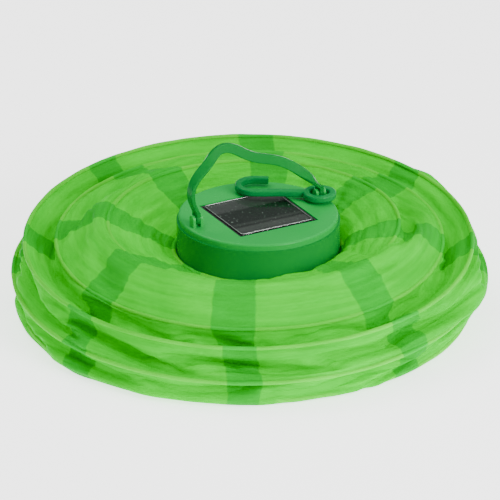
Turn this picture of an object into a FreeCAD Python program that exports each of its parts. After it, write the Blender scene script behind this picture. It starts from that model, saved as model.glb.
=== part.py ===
"""A folding solar lantern: a cloth globe on wire hoops, lying folded flat, with a round solar cap in its neck.

Millimetres. +Z is up, X runs through the two strap lugs, and the origin is at the centre of the underside
of the bottom ring. Every sub-part is written to parts/NAME.step.
"""
import FreeCAD, Part
import math
import os

V = FreeCAD.Vector
UP = V(0, 0, 1)
ALONG_X = V(1, 0, 0)

# ---------------------------------------------------------------- cloth globe
GLOBE_REACH = 123.4  # centre line of the widest hoop
GLOBE_HALF_HEIGHT = 100.0  # of the hung globe, pole to middle
HOOP_COUNT = 7
HOOP_WIRE_R = 0.9
HEM_GAP = 0.05  # between a hoop's wire and its sewn sleeve
HEM_WALL = 0.4
CLOTH_SOLID = 0.6  # thickness of the plain solids that stand for the cloth
CLOTH_GAP = 0.8  # from a panel to the hems at its two edges
# How the hoops lie in the folded stack, from the bottom up: height of the centre, degrees of lean, and shifts
# to the right and to the back of the one who looks at it.
STACK = (
    (2.8, 0.0, 0.0, 0.0), (3.6, 0.3, -0.5, -1.0), (6.2, 1.8, -1.0, -3.0), (22.8, 4.3, 0.0, 0.0),
    (38.6, 4.5, 0.5, 2.0), (39.2, 3.5, 1.0, 1.0), (49.2, 1.5, 3.0, 0.0),
)
STACK_FACES = 61.5  # direction from the near side to the far side, in which the hoops rise
FOLD_DEPTHS = (8.5, 8.5, 6.0, 6.0, 7.5, 10.5, -1.5, 0.0)  # how far each panel's fold goes in

BOTTOM_RING_R = 46.0
BOTTOM_RING_WIDTH = 4.0
BOTTOM_RING_THICK = 2.2

# ------------------------------------------------------------------ solar cap
CAP_FOLDED_Z = 30.0  # underside of the cap above the table, folded
CAP_SHIFT = (5.0, -2.7)  # the cap has slid off centre in the folded cloth
HOUSING_R = 43.0
HOUSING_WALL = 1.8
HOUSING_HEIGHT = 18.1
BASE_THICK = 2.4
LID_THICK = 3.5
LID_STEP = 1.0  # the lid's edge stands in from the housing's
LID_ROUND = 1.2
SPIGOT_DEPTH = 3.0
SPIGOT_WALL = 1.5
FIT_GAP = 0.2
FLANGE_WIDTH = 4.0  # of the base, past the housing, where the neck wire sits
NECK_WIRE_R = 0.9
CLIP_ANGLES = (0, 120, 240)
CLIP_SWEEP = 16.0
CLIP_WALL = 1.3
CLIP_LIP = 0.9

# -------------------------------------------------------------- solar module
SOLAR_SIDE = 46.0
SOLAR_BORDER = 1.2  # bare board around the resin
SOLAR_BOARD = 1.2
CELL_COUNT = 4
CELL_GAP = 0.5
CELL_THICK = 0.3
CELL_MARGIN = 1.0  # resin around the cells
RESIN_PROUD = 0.15
FOAM_THICK = 0.6
FOAM_WIDTH = 4.5
RECESS_FLOOR = 1.1
WIRE_HOLE_R = 3.0
WIRE_HOLE = (7.0, 8.0)

# --------------------------------------------------------------- lug and strap
LUG_X = 36.7
LUG_AXIS_HEIGHT = 4.2  # above the lid
LUG_POST = 1.6
LUG_WIDTH = 4.4
LUG_PIN_R = 1.2
STRAP_WIDTH = 5.4
STRAP_THICK = 2.2
STRAP_SIDE_GAP = 0.25
STRAP_PIN_GAP = 0.06
STRAP_EYE_R = 3.0
STRAP_CORNER = 0.6
# Centre line of the strap, left lug to right lug: across, above the lid, turn of the band's width from Y.
STRAP_LINE = (
    (-36.9, 7.6, 0), (-38.8, 12.6, 0), (-39.8, 19.0, 4), (-38.0, 24.8, 14), (-34.0, 29.7, 34),
    (-29.4, 34.3, 58), (-26.2, 38.2, 76), (-22.2, 40.6, 88), (-16.4, 40.0, 90), (-9.5, 36.0, 90),
    (-0.5, 31.4, 90), (10.0, 28.0, 90), (19.0, 23.2, 86), (27.4, 16.6, 62), (33.4, 11.2, 24),
    (36.0, 7.8, 0),
)

# ------------------------------------------------------------------------ hook
HOOK_THICK = 3.8
HOOK_WIDTH = 3.8
HOOK_EDGE = 1.2
HOOK_EYE_R = 7.0  # centre line of the eye
HOOK_BEND_R = 8.7  # centre line of the bend
HOOK_BEND_AT = (35.0, -7.2)  # centre of the bend from the eye: along the hook, and to its side
HOOK_TIP_BACK = 6.5  # straight arm from the bend to the tip
HOOK_STEM_AT = 19.0  # end of the straight stem
HOOK_LIFT = 1.2  # underside above the lid
HOOK_ANGLE = 146.0  # direction of the hook from the eye

# ----------------------------------------------------------- inside the cap
POST_R = 3.2
POST_PITCH_R = 34.4
POST_ANGLES = (30, 150, 270)
SCREW_R = 1.2
SCREW_HEAD_R = 2.6
SCREW_HEAD = 1.3
SCREW_LENGTH = 12.0
SCREW_HOLE_GAP = 0.3
PILOT_GAP = 0.05

BATTERY_R = 5.25
BATTERY_LENGTH = 44.5
BATTERY_NUB = (1.9, 0.9)  # radius, length
BATTERY_Y = -22.0
BATTERY_CLEAR = 0.35
CONTACT_THICK = 0.4
SPRING_SPACE = 5.1
SPRING_WIRE_R = 0.35
SPRING_R = 3.0
CELL_WALL = 1.4
CELL_WALL_HEIGHT = 7.0

DOOR_MARGIN = 1.2  # door past the battery opening
DOOR_THICK = 1.0
DOOR_GAP = 0.3
DOOR_TAB = (8.4, 5.4)  # width, reach
DOOR_SCREW_R = 0.95
DOOR_SCREW_HEAD = (1.9, 1.0)
DOOR_SCREW_LENGTH = 5.6
DOOR_BOSS_R = 2.4

BOARD_Z = 14.0  # circuit board's underside above the cap's underside
BOARD_THICK = 1.6
BOARD_X = 20.0
BOARD_Y = (-5.0, 24.0)
STANDOFF_R = 2.2
STAKE_R = 0.9
STAKE_GAP = 0.15
STANDOFFS = ((-16.5, 20.5), (16.5, 20.5), (-16.5, -1.5), (16.5, -1.5))

LED_R = 2.5
LED_FLANGE_R = 2.9
LED_LEAD = 0.5
LENS_R = 8.0
LENS_WALL = 1.2
LENS_FLANGE = (1.4, 1.0)  # width, thickness
LENS_DROP = 6.0

SWITCH_AT = (0.0, 15.0)
SWITCH_TRAVEL = 4.0
SWITCH_STEM = (2.4, 2.0)
SWITCH_CASE = (12.0, 5.0, 5.0)
SWITCH_PAD = (4.6, 4.0, 1.4)
SWITCH_GAP = 0.3
LEAD_WIRE_R = 0.6


# ------------------------------------------------------------ shared helpers
def save(name, shape, cap=False):
    """Writes one sub-part; a piece of the cap is built about the cap's own axis and moved to its place."""
    if cap:
        shape = shape.copy()
        shape.translate(V(CAP_SHIFT[0], CAP_SHIFT[1], CAP_FOLDED_Z))
    if not shape.isValid():
        raise ValueError(name + " is not a valid shape")
    shape.exportStep("parts/" + name + ".step")


def disc(radius, low, high, at=(0, 0)):
    return Part.makeCylinder(radius, high - low, V(at[0], at[1], low))


def tube(outer, inner, low, high, at=(0, 0)):
    return disc(outer, low, high, at).cut(disc(inner, low - 1, high + 1, at))


def block(x0, x1, y0, y1, z0, z1):
    return Part.makeBox(x1 - x0, y1 - y0, z1 - z0, V(x0, y0, z0))


def square(side, z0, z1):
    return block(-side / 2, side / 2, -side / 2, side / 2, z0, z1)


def spun(points, centre=V(0, 0, 0), angle=360.0):
    """A closed outline of (radius, height) points turned about Z."""
    outline = Part.makePolygon([V(r, 0, z) for r, z in points + points[:1]])
    solid = Part.Face(outline).revolve(V(0, 0, 0), UP, angle)
    solid.translate(centre)
    return solid


def polar(radius, degrees):
    return radius * math.cos(math.radians(degrees)), radius * math.sin(math.radians(degrees))


def rounded_line(points, shares=0.45):
    """Straight runs between the points, with a tangent arc at each corner as large as its runs allow."""
    edges, start = [], points[0]
    for before, corner, after in zip(points, points[1:], points[2:]):
        came, goes = (before - corner), (after - corner)
        reach = shares * min(came.Length, goes.Length)
        a = corner + came.normalize() * reach
        b = corner + goes.normalize() * reach
        half = came.getAngle(goes) / 2
        inward = (came + goes).normalize()
        middle = corner + inward * (reach / math.cos(half) - reach * math.tan(half))
        edges += [Part.LineSegment(start, a).toShape(), Part.Arc(a, middle, b).toShape()]
        start = b
    edges.append(Part.LineSegment(start, points[-1]).toShape())
    return Part.Wire(edges)


def rod(points, radius):
    """A round wire along a rounded line."""
    path = rounded_line(points)
    direction = points[1] - points[0]
    ring = Part.Wire(Part.makeCircle(radius, points[0], direction))
    return path.makePipeShell([ring], True, False)


# ------------------------------------------------------------------ cloth globe
def neck_r():
    return HOUSING_R + NECK_WIRE_R + 0.7


def hung_angles():
    """Angle of every ring from the globe's lower pole: bottom ring, the hoops, then the neck."""
    first = math.asin(BOTTOM_RING_R / GLOBE_REACH)
    last = math.pi - math.asin(neck_r() / GLOBE_REACH)
    return [first + (last - first) * i / (HOOP_COUNT + 1) for i in range(HOOP_COUNT + 2)]


def rings_folded():
    """Radius, centre and axis of every ring as the lantern lies folded."""
    angles = hung_angles()
    back = V(*polar(1, STACK_FACES), 0)
    right = V(back.y, -back.x, 0)
    found = [(BOTTOM_RING_R, V(0, 0, BOTTOM_RING_THICK / 2), UP)]
    for i, (height, lean, to_right, to_back) in enumerate(STACK):
        centre = right * to_right + back * to_back + UP * height
        axis = UP * math.cos(math.radians(lean)) - back * math.sin(math.radians(lean))
        found.append((GLOBE_REACH * math.sin(angles[i + 1]), centre, axis))
    neck_z = CAP_FOLDED_Z + BASE_THICK + NECK_WIRE_R + HEM_GAP
    found.append((neck_r(), V(CAP_SHIFT[0], CAP_SHIFT[1], neck_z), UP))
    return found


def heights_hung():
    """Height of every ring above the bottom ring's underside as the lantern hangs at full length."""
    angles = hung_angles()
    return [
        BOTTOM_RING_THICK / 2 + GLOBE_HALF_HEIGHT * (math.cos(angles[0]) - math.cos(a)) for a in angles
    ]


def bottom_ring():
    half = BOTTOM_RING_WIDTH / 2
    ring = tube(BOTTOM_RING_R + half, BOTTOM_RING_R - half, 0, BOTTOM_RING_THICK)
    upper = [e for e in ring.Edges if abs(e.BoundBox.ZMin - BOTTOM_RING_THICK) < 1e-6 and len(e.Vertexes) == 1]
    return ring.makeFillet(min(0.7, BOTTOM_RING_THICK / 3), upper)


def hoop(radius, centre, axis):
    return Part.makeTorus(radius, HOOP_WIRE_R, centre, axis)


def hem(radius, centre, axis):
    inner = HOOP_WIRE_R + HEM_GAP
    sleeve = Part.makeTorus(radius, inner + HEM_WALL, centre, axis)
    return sleeve.cut(Part.makeTorus(radius, inner, centre, axis))


def unit(a, b):
    length = math.hypot(b[0] - a[0], b[1] - a[1])
    return (b[0] - a[0]) / length, (b[1] - a[1]) / length


def thickened(line):
    """A closed outline around a line of (along, out) points, CLOTH_SOLID thick, with mitred corners."""
    half = CLOTH_SOLID / 2
    runs = [unit(a, b) for a, b in zip(line, line[1:])]
    sides = ([], [])
    for i, (along, out) in enumerate(line):
        before, after = runs[max(i - 1, 0)], runs[min(i, len(runs) - 1)]
        across = before[1] + after[1], -before[0] - after[0]
        share = half * 2 / (across[0] ** 2 + across[1] ** 2)
        sides[0].append((along + across[0] * share, out + across[1] * share))
        sides[1].append((along - across[0] * share, out - across[1] * share))
    return sides[0] + sides[1][::-1]


def between(low, high, share, out):
    """A circle part of the way from one ring to the next, moved out of the cloth's own surface."""
    radius = low[0] + (high[0] - low[0]) * share
    centre = low[1] + (high[1] - low[1]) * share
    axis = (low[2] + (high[2] - low[2]) * share).normalize()
    rise, run = high[1].z - low[1].z, high[0] - low[0]
    span = math.hypot(rise, run)
    centre = centre - axis * (out * run / span)
    return Part.makeCircle(radius + out * rise / span, centre, axis)


def panel(low, high, depth, start, end):
    """The ring of cloth from one ring to the next, with one fold at its middle."""
    span = math.hypot(high[1].z - low[1].z, high[0] - low[0])
    line = [(start, 0.0), (span / 2, -depth), (span - end, 0.0)]
    circles = [between(low, high, along / span, out) for along, out in thickened(line)]
    faces = [Part.makeRuledSurface(a, b) for a, b in zip(circles, circles[1:] + circles[:1])]
    shell = Part.makeShell(faces)
    shell.sewShape()
    return Part.makeSolid(shell)


def shortest(low, high):
    """The least distance from one leaning ring to the next, looked for all round."""
    spans = []
    for step in range(0, 360, 10):
        ends = []
        for radius, centre, axis in (low, high):
            circle = Part.Circle(centre, axis, radius)
            toward = centre + V(*polar(radius, step), 0)
            ends.append(circle.value(circle.parameter(toward)))
        spans.append((ends[0] - ends[1]).Length)
    return min(spans)


def cloth_panels(rings):
    """Every panel, each stopping short of what it is sewn to."""
    clear = HOOP_WIRE_R + HEM_GAP + HEM_WALL + CLOTH_GAP
    made = []
    for i, (low, high) in enumerate(zip(rings, rings[1:])):
        start, end = clear, clear
        if i == 0:
            start = BOTTOM_RING_WIDTH / 2 + CLOTH_GAP
        if i == HOOP_COUNT:
            end = FLANGE_WIDTH + 1
        span = math.hypot(high[1].z - low[1].z, high[0] - low[0])
        wider = span / min(span, shortest(low, high))
        made.append(panel(low, high, FOLD_DEPTHS[i], start * wider, end * wider))
    return made


# -------------------------------------------------------------------- solar cap
def lid_z():
    """Underside of the lid above the cap's underside."""
    return BASE_THICK + HOUSING_HEIGHT


def lid_top():
    return lid_z() + LID_THICK


def lid_r():
    return HOUSING_R - LID_STEP


def recess_floor():
    return lid_z() + RECESS_FLOOR


def lug(side):
    """Two posts with a pin between them, on which the strap's eye turns."""
    x, top = side * LUG_X, lid_top()
    axis = top + LUG_AXIS_HEIGHT
    half_gap = STRAP_THICK / 2 + STRAP_SIDE_GAP
    posts = []
    for way in (-1, 1):
        inner = x + way * half_gap
        outer = inner + way * LUG_POST
        a, b = min(inner, outer), max(inner, outer)
        stem = block(a, b, -LUG_WIDTH / 2, LUG_WIDTH / 2, top - 0.5, axis)
        crown = Part.makeCylinder(LUG_WIDTH / 2, b - a, V(a, 0, axis), ALONG_X)
        posts.append(stem.fuse(crown))
    reach = half_gap + LUG_POST / 2
    pin = Part.makeCylinder(LUG_PIN_R, 2 * reach, V(x - reach, 0, axis), ALONG_X)
    return posts[0].fuse(posts[1]).fuse(pin)


def lid():
    plate = disc(lid_r(), lid_z(), lid_top())
    rim = [e for e in plate.Edges if abs(e.BoundBox.ZMin - lid_top()) < 1e-6]
    plate = plate.makeFillet(min(LID_ROUND, LID_THICK / 2), rim)
    plate = plate.cut(square(SOLAR_SIDE + FIT_GAP, recess_floor(), lid_top() + 1))
    plate = plate.cut(disc(WIRE_HOLE_R, lid_z() - 1, lid_top(), WIRE_HOLE))
    wall_in = HOUSING_R - HOUSING_WALL - FIT_GAP
    plate = plate.fuse(tube(wall_in, wall_in - SPIGOT_WALL, lid_z() - SPIGOT_DEPTH, lid_z()))
    for angle in POST_ANGLES:
        at = polar(POST_PITCH_R, angle)
        plate = plate.fuse(disc(POST_R, BASE_THICK, lid_z(), at))
        plate = plate.cut(disc(SCREW_R + PILOT_GAP, BASE_THICK - 1, BASE_THICK + SCREW_LENGTH + 1, at))
    for side in (-1, 1):
        plate = plate.fuse(lug(side))
    return plate.removeSplitter()


def housing():
    return tube(HOUSING_R, HOUSING_R - HOUSING_WALL, BASE_THICK, lid_z())


def battery_ends():
    """Inner faces of the battery compartment's two end walls."""
    half = (BATTERY_LENGTH + SPRING_SPACE + 2 * CONTACT_THICK) / 2
    return -half, half


def battery_z():
    return BASE_THICK + BATTERY_CLEAR + BATTERY_R


def opening_half():
    """Half sizes of the opening that the battery drops out of."""
    return battery_ends()[1] - 2.2, BATTERY_R + BATTERY_CLEAR / 2


def door_half(gap=0.0):
    x, y = opening_half()
    return x + DOOR_MARGIN - gap, y + DOOR_MARGIN - gap


def door_outline(z0, z1, gap=0.0):
    """The door's plate with its screw tab."""
    x, y = door_half(gap)
    plate = block(-x, x, BATTERY_Y - y, BATTERY_Y + y, z0, z1)
    width, reach = DOOR_TAB
    tab_end = BATTERY_Y + door_half()[1] + reach
    tab = block(-width / 2 + gap, width / 2 - gap, BATTERY_Y + y - 1, tab_end - gap, z0, z1)
    return plate.fuse(tab).removeSplitter()


def door_screw_at():
    return 0.0, BATTERY_Y + door_half()[1] + DOOR_TAB[1] / 2


def base():
    flange_r = HOUSING_R + FLANGE_WIDTH
    plate = disc(flange_r, 0, BASE_THICK)
    wall_in = HOUSING_R - HOUSING_WALL - FIT_GAP
    plate = plate.fuse(tube(wall_in, wall_in - SPIGOT_WALL, BASE_THICK, BASE_THICK + SPIGOT_DEPTH))
    plate = plate.fuse(compartment())
    for at in STANDOFFS:
        plate = plate.fuse(disc(STANDOFF_R, BASE_THICK, BOARD_Z, at))
        plate = plate.fuse(disc(STAKE_R, BOARD_Z, BOARD_Z + BOARD_THICK + 0.8, at))
    plate = plate.fuse(disc(DOOR_BOSS_R, BASE_THICK, BASE_THICK + DOOR_SCREW_LENGTH, door_screw_at()))
    for piece in clips():
        plate = plate.fuse(piece)
    half_x, half_y = opening_half()
    plate = plate.cut(block(-half_x, half_x, BATTERY_Y - half_y, BATTERY_Y + half_y, -1, BASE_THICK + 1))
    plate = plate.cut(door_outline(-1, DOOR_THICK + 0.2))
    hole = DOOR_SCREW_R + PILOT_GAP
    plate = plate.cut(disc(hole, -1, BASE_THICK + DOOR_SCREW_LENGTH - 1, door_screw_at()))
    for angle in POST_ANGLES:
        at = polar(POST_PITCH_R, angle)
        plate = plate.cut(disc(SCREW_R + SCREW_HOLE_GAP, -1, BASE_THICK + 1, at))
        plate = plate.cut(disc(SCREW_HEAD_R + SCREW_HOLE_GAP, -1, SCREW_HEAD + 0.1, at))
    plate = plate.cut(disc(LENS_R + 0.1, -1, BASE_THICK + 1))
    slot_x = (SWITCH_STEM[0] + SWITCH_TRAVEL) / 2 + SWITCH_GAP
    slot_y = SWITCH_STEM[1] / 2 + SWITCH_GAP
    x, y = SWITCH_AT
    plate = plate.cut(block(x - slot_x, x + slot_x, y - slot_y, y + slot_y, -1, BASE_THICK + 1))
    return plate.removeSplitter()


def compartment():
    """Walls that hold the battery, open to the door below."""
    low, high = battery_ends()
    inner_y = BATTERY_R + BATTERY_CLEAR
    top = BASE_THICK + CELL_WALL_HEIGHT
    outer = block(low - CELL_WALL, high + CELL_WALL, BATTERY_Y - inner_y - CELL_WALL,
                  BATTERY_Y + inner_y + CELL_WALL, BASE_THICK, top)
    return outer.cut(block(low, high, BATTERY_Y - inner_y, BATTERY_Y + inner_y, BASE_THICK - 1, top + 1))


def clips():
    """Hooks that hold the neck wire down on the base's flange."""
    outer = HOUSING_R + FLANGE_WIDTH
    inner = neck_r() + NECK_WIRE_R + 0.2
    top = BASE_THICK + 2 * NECK_WIRE_R + 2 * HEM_GAP + CLIP_LIP
    lip_in = neck_r() + 0.3
    outline = [(inner, BASE_THICK), (outer, BASE_THICK), (outer, top), (lip_in, top),
               (lip_in, top - CLIP_LIP), (inner, top - CLIP_LIP)]
    made = []
    for angle in CLIP_ANGLES:
        piece = spun(outline, angle=CLIP_SWEEP)
        piece.rotate(V(0, 0, 0), UP, angle - CLIP_SWEEP / 2)
        made.append(piece)
    return made


def neck_ring():
    return Part.makeTorus(neck_r(), NECK_WIRE_R, V(0, 0, BASE_THICK + NECK_WIRE_R + HEM_GAP))


# ------------------------------------------------------------------ solar module
def foam():
    z = recess_floor()
    side = SOLAR_SIDE - 1
    return square(side, z, z + FOAM_THICK).cut(square(side - 2 * FOAM_WIDTH, z - 1, z + FOAM_THICK + 1))


def board_top():
    return recess_floor() + FOAM_THICK + SOLAR_BOARD


def solar_board():
    return square(SOLAR_SIDE, board_top() - SOLAR_BOARD, board_top())


def solar_cells():
    """Silicon strips that run across the board side by side."""
    side = SOLAR_SIDE - 2 * (SOLAR_BORDER + CELL_MARGIN)
    width = (side - (CELL_COUNT - 1) * CELL_GAP) / CELL_COUNT
    strips = []
    for i in range(CELL_COUNT):
        y = -side / 2 + i * (width + CELL_GAP)
        strips.append(block(-side / 2, side / 2, y, y + width, board_top(), board_top() + CELL_THICK))
    return Part.Compound(strips)


def solar_resin():
    side = SOLAR_SIDE - 2 * SOLAR_BORDER
    top = lid_top() + RESIN_PROUD
    slab = square(side, board_top(), top)
    rim = [e for e in slab.Edges if abs(e.BoundBox.ZMin - top) < 1e-6]
    slab = slab.makeFillet(min(0.4, (top - board_top()) / 2), rim)
    return slab.cut(solar_cells())


# ----------------------------------------------------------------- strap and hook
def band_section(x, height, turn, along):
    """The strap's rounded section at a point of its line, across the direction along."""
    across = V(0, 1, 0)
    normal = along.cross(across).normalize()
    angle = math.radians(turn)
    wide = across * math.cos(angle) + normal * math.sin(angle)
    thin = along.cross(wide).normalize()
    centre = V(x, 0, lid_top() + height)
    w, t, c = STRAP_WIDTH / 2, STRAP_THICK / 2, STRAP_CORNER
    corners = [(w, t), (-w, t), (-w, -t), (w, -t)]
    steps = [((0, -c), (-c, 0)), ((c, 0), (0, -c)), ((0, c), (c, 0)), ((-c, 0), (0, c))]

    def at(a, b):
        return centre + wide * a + thin * b

    edges, previous = [], None
    for (cw, ct), (first, second) in zip(corners, steps):
        start = at(cw + first[0], ct + first[1])
        end = at(cw + second[0], ct + second[1])
        pull = c * (1 - math.sqrt(0.5))
        middle = at(cw - math.copysign(pull, cw), ct - math.copysign(pull, ct))
        if previous is not None:
            edges.append(Part.LineSegment(previous, start).toShape())
        edges.append(Part.Arc(start, middle, end).toShape())
        previous = end
    edges.append(Part.LineSegment(previous, edges[0].Vertexes[0].Point).toShape())
    return Part.Wire(edges)


def strap():
    points = [V(x, 0, h) for x, h, _ in STRAP_LINE]
    sections = []
    for i, (x, height, turn) in enumerate(STRAP_LINE):
        before, after = points[max(i - 1, 0)], points[min(i + 1, len(points) - 1)]
        along = (after - before).normalize()
        if i in (0, len(points) - 1):
            along = V(0, 0, 1) if i == 0 else V(0, 0, -1)
        sections.append(band_section(x, height, turn, along))
    band = Part.makeLoft(sections, True, False)
    axis = lid_top() + LUG_AXIS_HEIGHT
    body = band
    for side, line_end in ((-1, STRAP_LINE[0]), (1, STRAP_LINE[-1])):
        x = side * LUG_X
        left = x - STRAP_THICK / 2
        eye = Part.makeCylinder(STRAP_EYE_R, STRAP_THICK, V(left, 0, axis), ALONG_X)
        neck = block(left, left + STRAP_THICK, -STRAP_WIDTH / 2, STRAP_WIDTH / 2,
                     axis, lid_top() + line_end[1] + 0.6)
        hole = Part.makeCylinder(LUG_PIN_R + STRAP_PIN_GAP, STRAP_THICK + 2, V(left - 1, 0, axis), ALONG_X)
        body = body.fuse(eye.fuse(neck)).cut(hole)
    return body


def hook_line():
    """The hook's centre line from the eye to the tip, as edges in its own flat frame."""
    bx, by = HOOK_BEND_AT
    lower, upper = by + HOOK_BEND_R, by - HOOK_BEND_R
    start, stem = V(HOOK_EYE_R, 0, 0), V(HOOK_STEM_AT, 0, 0)
    swing = V((HOOK_STEM_AT + bx) / 2, lower * 0.5, 0)
    curve = Part.BSplineCurve()
    curve.interpolate([stem, swing, V(bx, lower, 0)], InitialTangent=V(1, 0, 0), FinalTangent=V(1, 0, 0))
    bend = Part.Arc(V(bx, lower, 0), V(bx + HOOK_BEND_R, by, 0), V(bx, upper, 0))
    tip = Part.LineSegment(V(bx, upper, 0), V(bx - HOOK_TIP_BACK, upper, 0))
    return [Part.LineSegment(start, stem).toShape(), curve.toShape(), bend.toShape(), tip.toShape()]


def hook():
    """A flat moulded hook with an eye round the strap's right end."""
    z = lid_top() + HOOK_LIFT
    half_w = HOOK_WIDTH / 2
    eye = tube(HOOK_EYE_R + half_w, HOOK_EYE_R - half_w, z, z + HOOK_THICK)
    eye = eye.makeFillet(HOOK_EDGE, [e for e in eye.Edges if len(e.Vertexes) == 1])
    path = Part.Wire(hook_line())
    c = HOOK_EDGE
    w, t = half_w, HOOK_THICK / 2
    pull = c * (1 - math.sqrt(0.5))
    ring = []
    spots = [(w, -t + c), (w, t - c), (w - c, t), (-w + c, t), (-w, t - c), (-w, -t + c), (-w + c, -t), (w - c, -t)]
    for i in range(0, 8, 2):
        a, b, d = spots[i], spots[i + 1], spots[(i + 2) % 8]
        mid_y = math.copysign(max(abs(b[0]), abs(d[0])) - pull, b[0] + d[0])
        mid_z = math.copysign(max(abs(b[1]), abs(d[1])) - pull, b[1] + d[1])
        ring.append(Part.LineSegment(V(HOOK_EYE_R, *a), V(HOOK_EYE_R, *b)).toShape())
        ring.append(Part.Arc(V(HOOK_EYE_R, *b), V(HOOK_EYE_R, mid_y, mid_z), V(HOOK_EYE_R, *d)).toShape())
    arm = path.makePipeShell([Part.Wire(ring)], True, False)
    arm.translate(V(0, 0, z + t))
    body = eye.fuse(arm).removeSplitter()
    body.rotate(V(0, 0, 0), UP, HOOK_ANGLE)
    body.translate(V(LUG_X, 0, 0))
    return body


# -------------------------------------------------------------- inside the cap
def battery():
    low, high = battery_ends()
    end = high - CONTACT_THICK - 0.03
    nub_r, nub = BATTERY_NUB
    z = battery_z()
    start = end - BATTERY_LENGTH
    can = Part.makeCylinder(BATTERY_R, BATTERY_LENGTH - nub, V(start, BATTERY_Y, z), ALONG_X)
    can = can.makeFillet(0.5, [e for e in can.Edges if len(e.Vertexes) == 1])
    return can.fuse(Part.makeCylinder(nub_r, nub + 0.2, V(end - nub - 0.2, BATTERY_Y, z), ALONG_X))


def contact_plate(x0):
    return block(x0, x0 + CONTACT_THICK, BATTERY_Y - 4, BATTERY_Y + 4, BASE_THICK + 0.6,
                 BASE_THICK + CELL_WALL_HEIGHT + 2.4)


def battery_spring():
    """The minus contact: a plate with a coil spring in front of it."""
    low = battery_ends()[0]
    space = SPRING_SPACE - 2 * SPRING_WIRE_R - 0.1
    helix = Part.makeHelix(space / 3, space, SPRING_R)
    ring = Part.Wire(Part.makeCircle(SPRING_WIRE_R, V(SPRING_R, 0, 0), V(0, 1, 0)))
    coil = Part.Wire(helix).makePipeShell([ring], True, True)
    coil.rotate(V(0, 0, 0), V(0, 1, 0), 90)
    coil.translate(V(low + CONTACT_THICK + SPRING_WIRE_R + 0.05, BATTERY_Y, battery_z()))
    return Part.Compound([contact_plate(low), coil])


def plus_contact():
    return contact_plate(battery_ends()[1] - CONTACT_THICK)


def battery_door():
    door = door_outline(0, DOOR_THICK, DOOR_GAP)
    for x in (-12.0, 12.0):
        rib = block(x - 0.6, x + 0.6, BATTERY_Y - BATTERY_R + 1, BATTERY_Y + BATTERY_R - 1,
                    DOOR_THICK, BASE_THICK)
        door = door.fuse(rib)
    for i in range(4):
        y = BATTERY_Y - 3 + 2 * i
        door = door.fuse(block(-7, 7, y - 0.35, y + 0.35, -0.4, 0.2))
    return door.cut(disc(DOOR_SCREW_R + 0.2, -2, DOOR_THICK + 1, door_screw_at())).removeSplitter()


def cross_cut(at, z):
    """A cross recess for a screwdriver, cut up into a head whose face is at z."""
    x, y = at
    slot = block(x - 1.1, x + 1.1, y - 0.25, y + 0.25, z - 0.1, z + 0.6)
    return slot.fuse(block(x - 0.25, x + 0.25, y - 1.1, y + 1.1, z - 0.1, z + 0.6))


def door_screw():
    at = door_screw_at()
    head_r, head = DOOR_SCREW_HEAD
    screw = disc(head_r, -head, 0, at).fuse(disc(DOOR_SCREW_R, 0, DOOR_SCREW_LENGTH, at))
    return screw.cut(cross_cut(at, -head))


def cap_screws():
    made = []
    for angle in POST_ANGLES:
        at = polar(POST_PITCH_R, angle)
        screw = disc(SCREW_HEAD_R, 0, SCREW_HEAD, at).fuse(disc(SCREW_R, SCREW_HEAD, SCREW_LENGTH, at))
        made.append(screw.cut(cross_cut(at, 0)))
    return Part.Compound(made)


def circuit_board():
    board = block(-BOARD_X, BOARD_X, BOARD_Y[0], BOARD_Y[1], BOARD_Z, BOARD_Z + BOARD_THICK)
    for at in STANDOFFS:
        board = board.cut(disc(STAKE_R + STAKE_GAP, BOARD_Z - 1, BOARD_Z + BOARD_THICK + 1, at))
    return board


def led():
    """A round-nosed lamp under the board, with its two leads."""
    collar = BOARD_Z - 2.0
    body = disc(LED_FLANGE_R, collar - 1.0, collar).fuse(disc(LED_R, collar - 6.2, collar - 1.0))
    body = body.fuse(Part.makeSphere(LED_R, V(0, 0, collar - 6.2)))
    for x in (-1.27, 1.27):
        half = LED_LEAD / 2
        body = body.fuse(block(x - half, x + half, -half, half, collar - 0.2, BOARD_Z))
    return body.removeSplitter()


def lens():
    """A clear dome over the lamp, dropped into the base from above."""
    wide, thick = LENS_FLANGE
    r, wall, low = LENS_R, LENS_WALL, -LENS_DROP
    outside = disc(r, low + r / 2, BASE_THICK).fuse(disc(r + wide, BASE_THICK, BASE_THICK + thick))
    dome = Part.makeSphere(r, V(0, 0, 0))
    squash = FreeCAD.Matrix()
    squash.scale(1, 1, 0.5)
    dome = dome.transformGeometry(squash)
    dome.translate(V(0, 0, low + r / 2))
    hollow = Part.makeSphere(r - wall, V(0, 0, 0)).transformGeometry(squash)
    hollow.translate(V(0, 0, low + r / 2))
    hollow = hollow.fuse(disc(r - wall, low + r / 2, BASE_THICK + thick + 1))
    return outside.fuse(dome).cut(hollow).removeSplitter()


def driver_chip():
    top = BOARD_Z + BOARD_THICK
    return block(6, 10.2, 12, 15, top, top + 1.6)


def inductor():
    top = BOARD_Z + BOARD_THICK
    return Part.makeCylinder(1.9, 6.5, V(-11, 13, top + 1.9), ALONG_X)


def switch_case():
    x, y = SWITCH_AT
    w, d, h = SWITCH_CASE
    case = block(x - w / 2, x + w / 2, y - d / 2, y + d / 2, BOARD_Z - h, BOARD_Z)
    slot_x = (SWITCH_STEM[0] + SWITCH_TRAVEL) / 2 + SWITCH_GAP
    slot_y = SWITCH_STEM[1] / 2 + SWITCH_GAP
    return case.cut(block(x - slot_x, x + slot_x, y - slot_y, y + slot_y, BOARD_Z - h - 1, BOARD_Z - 1.6))


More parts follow.
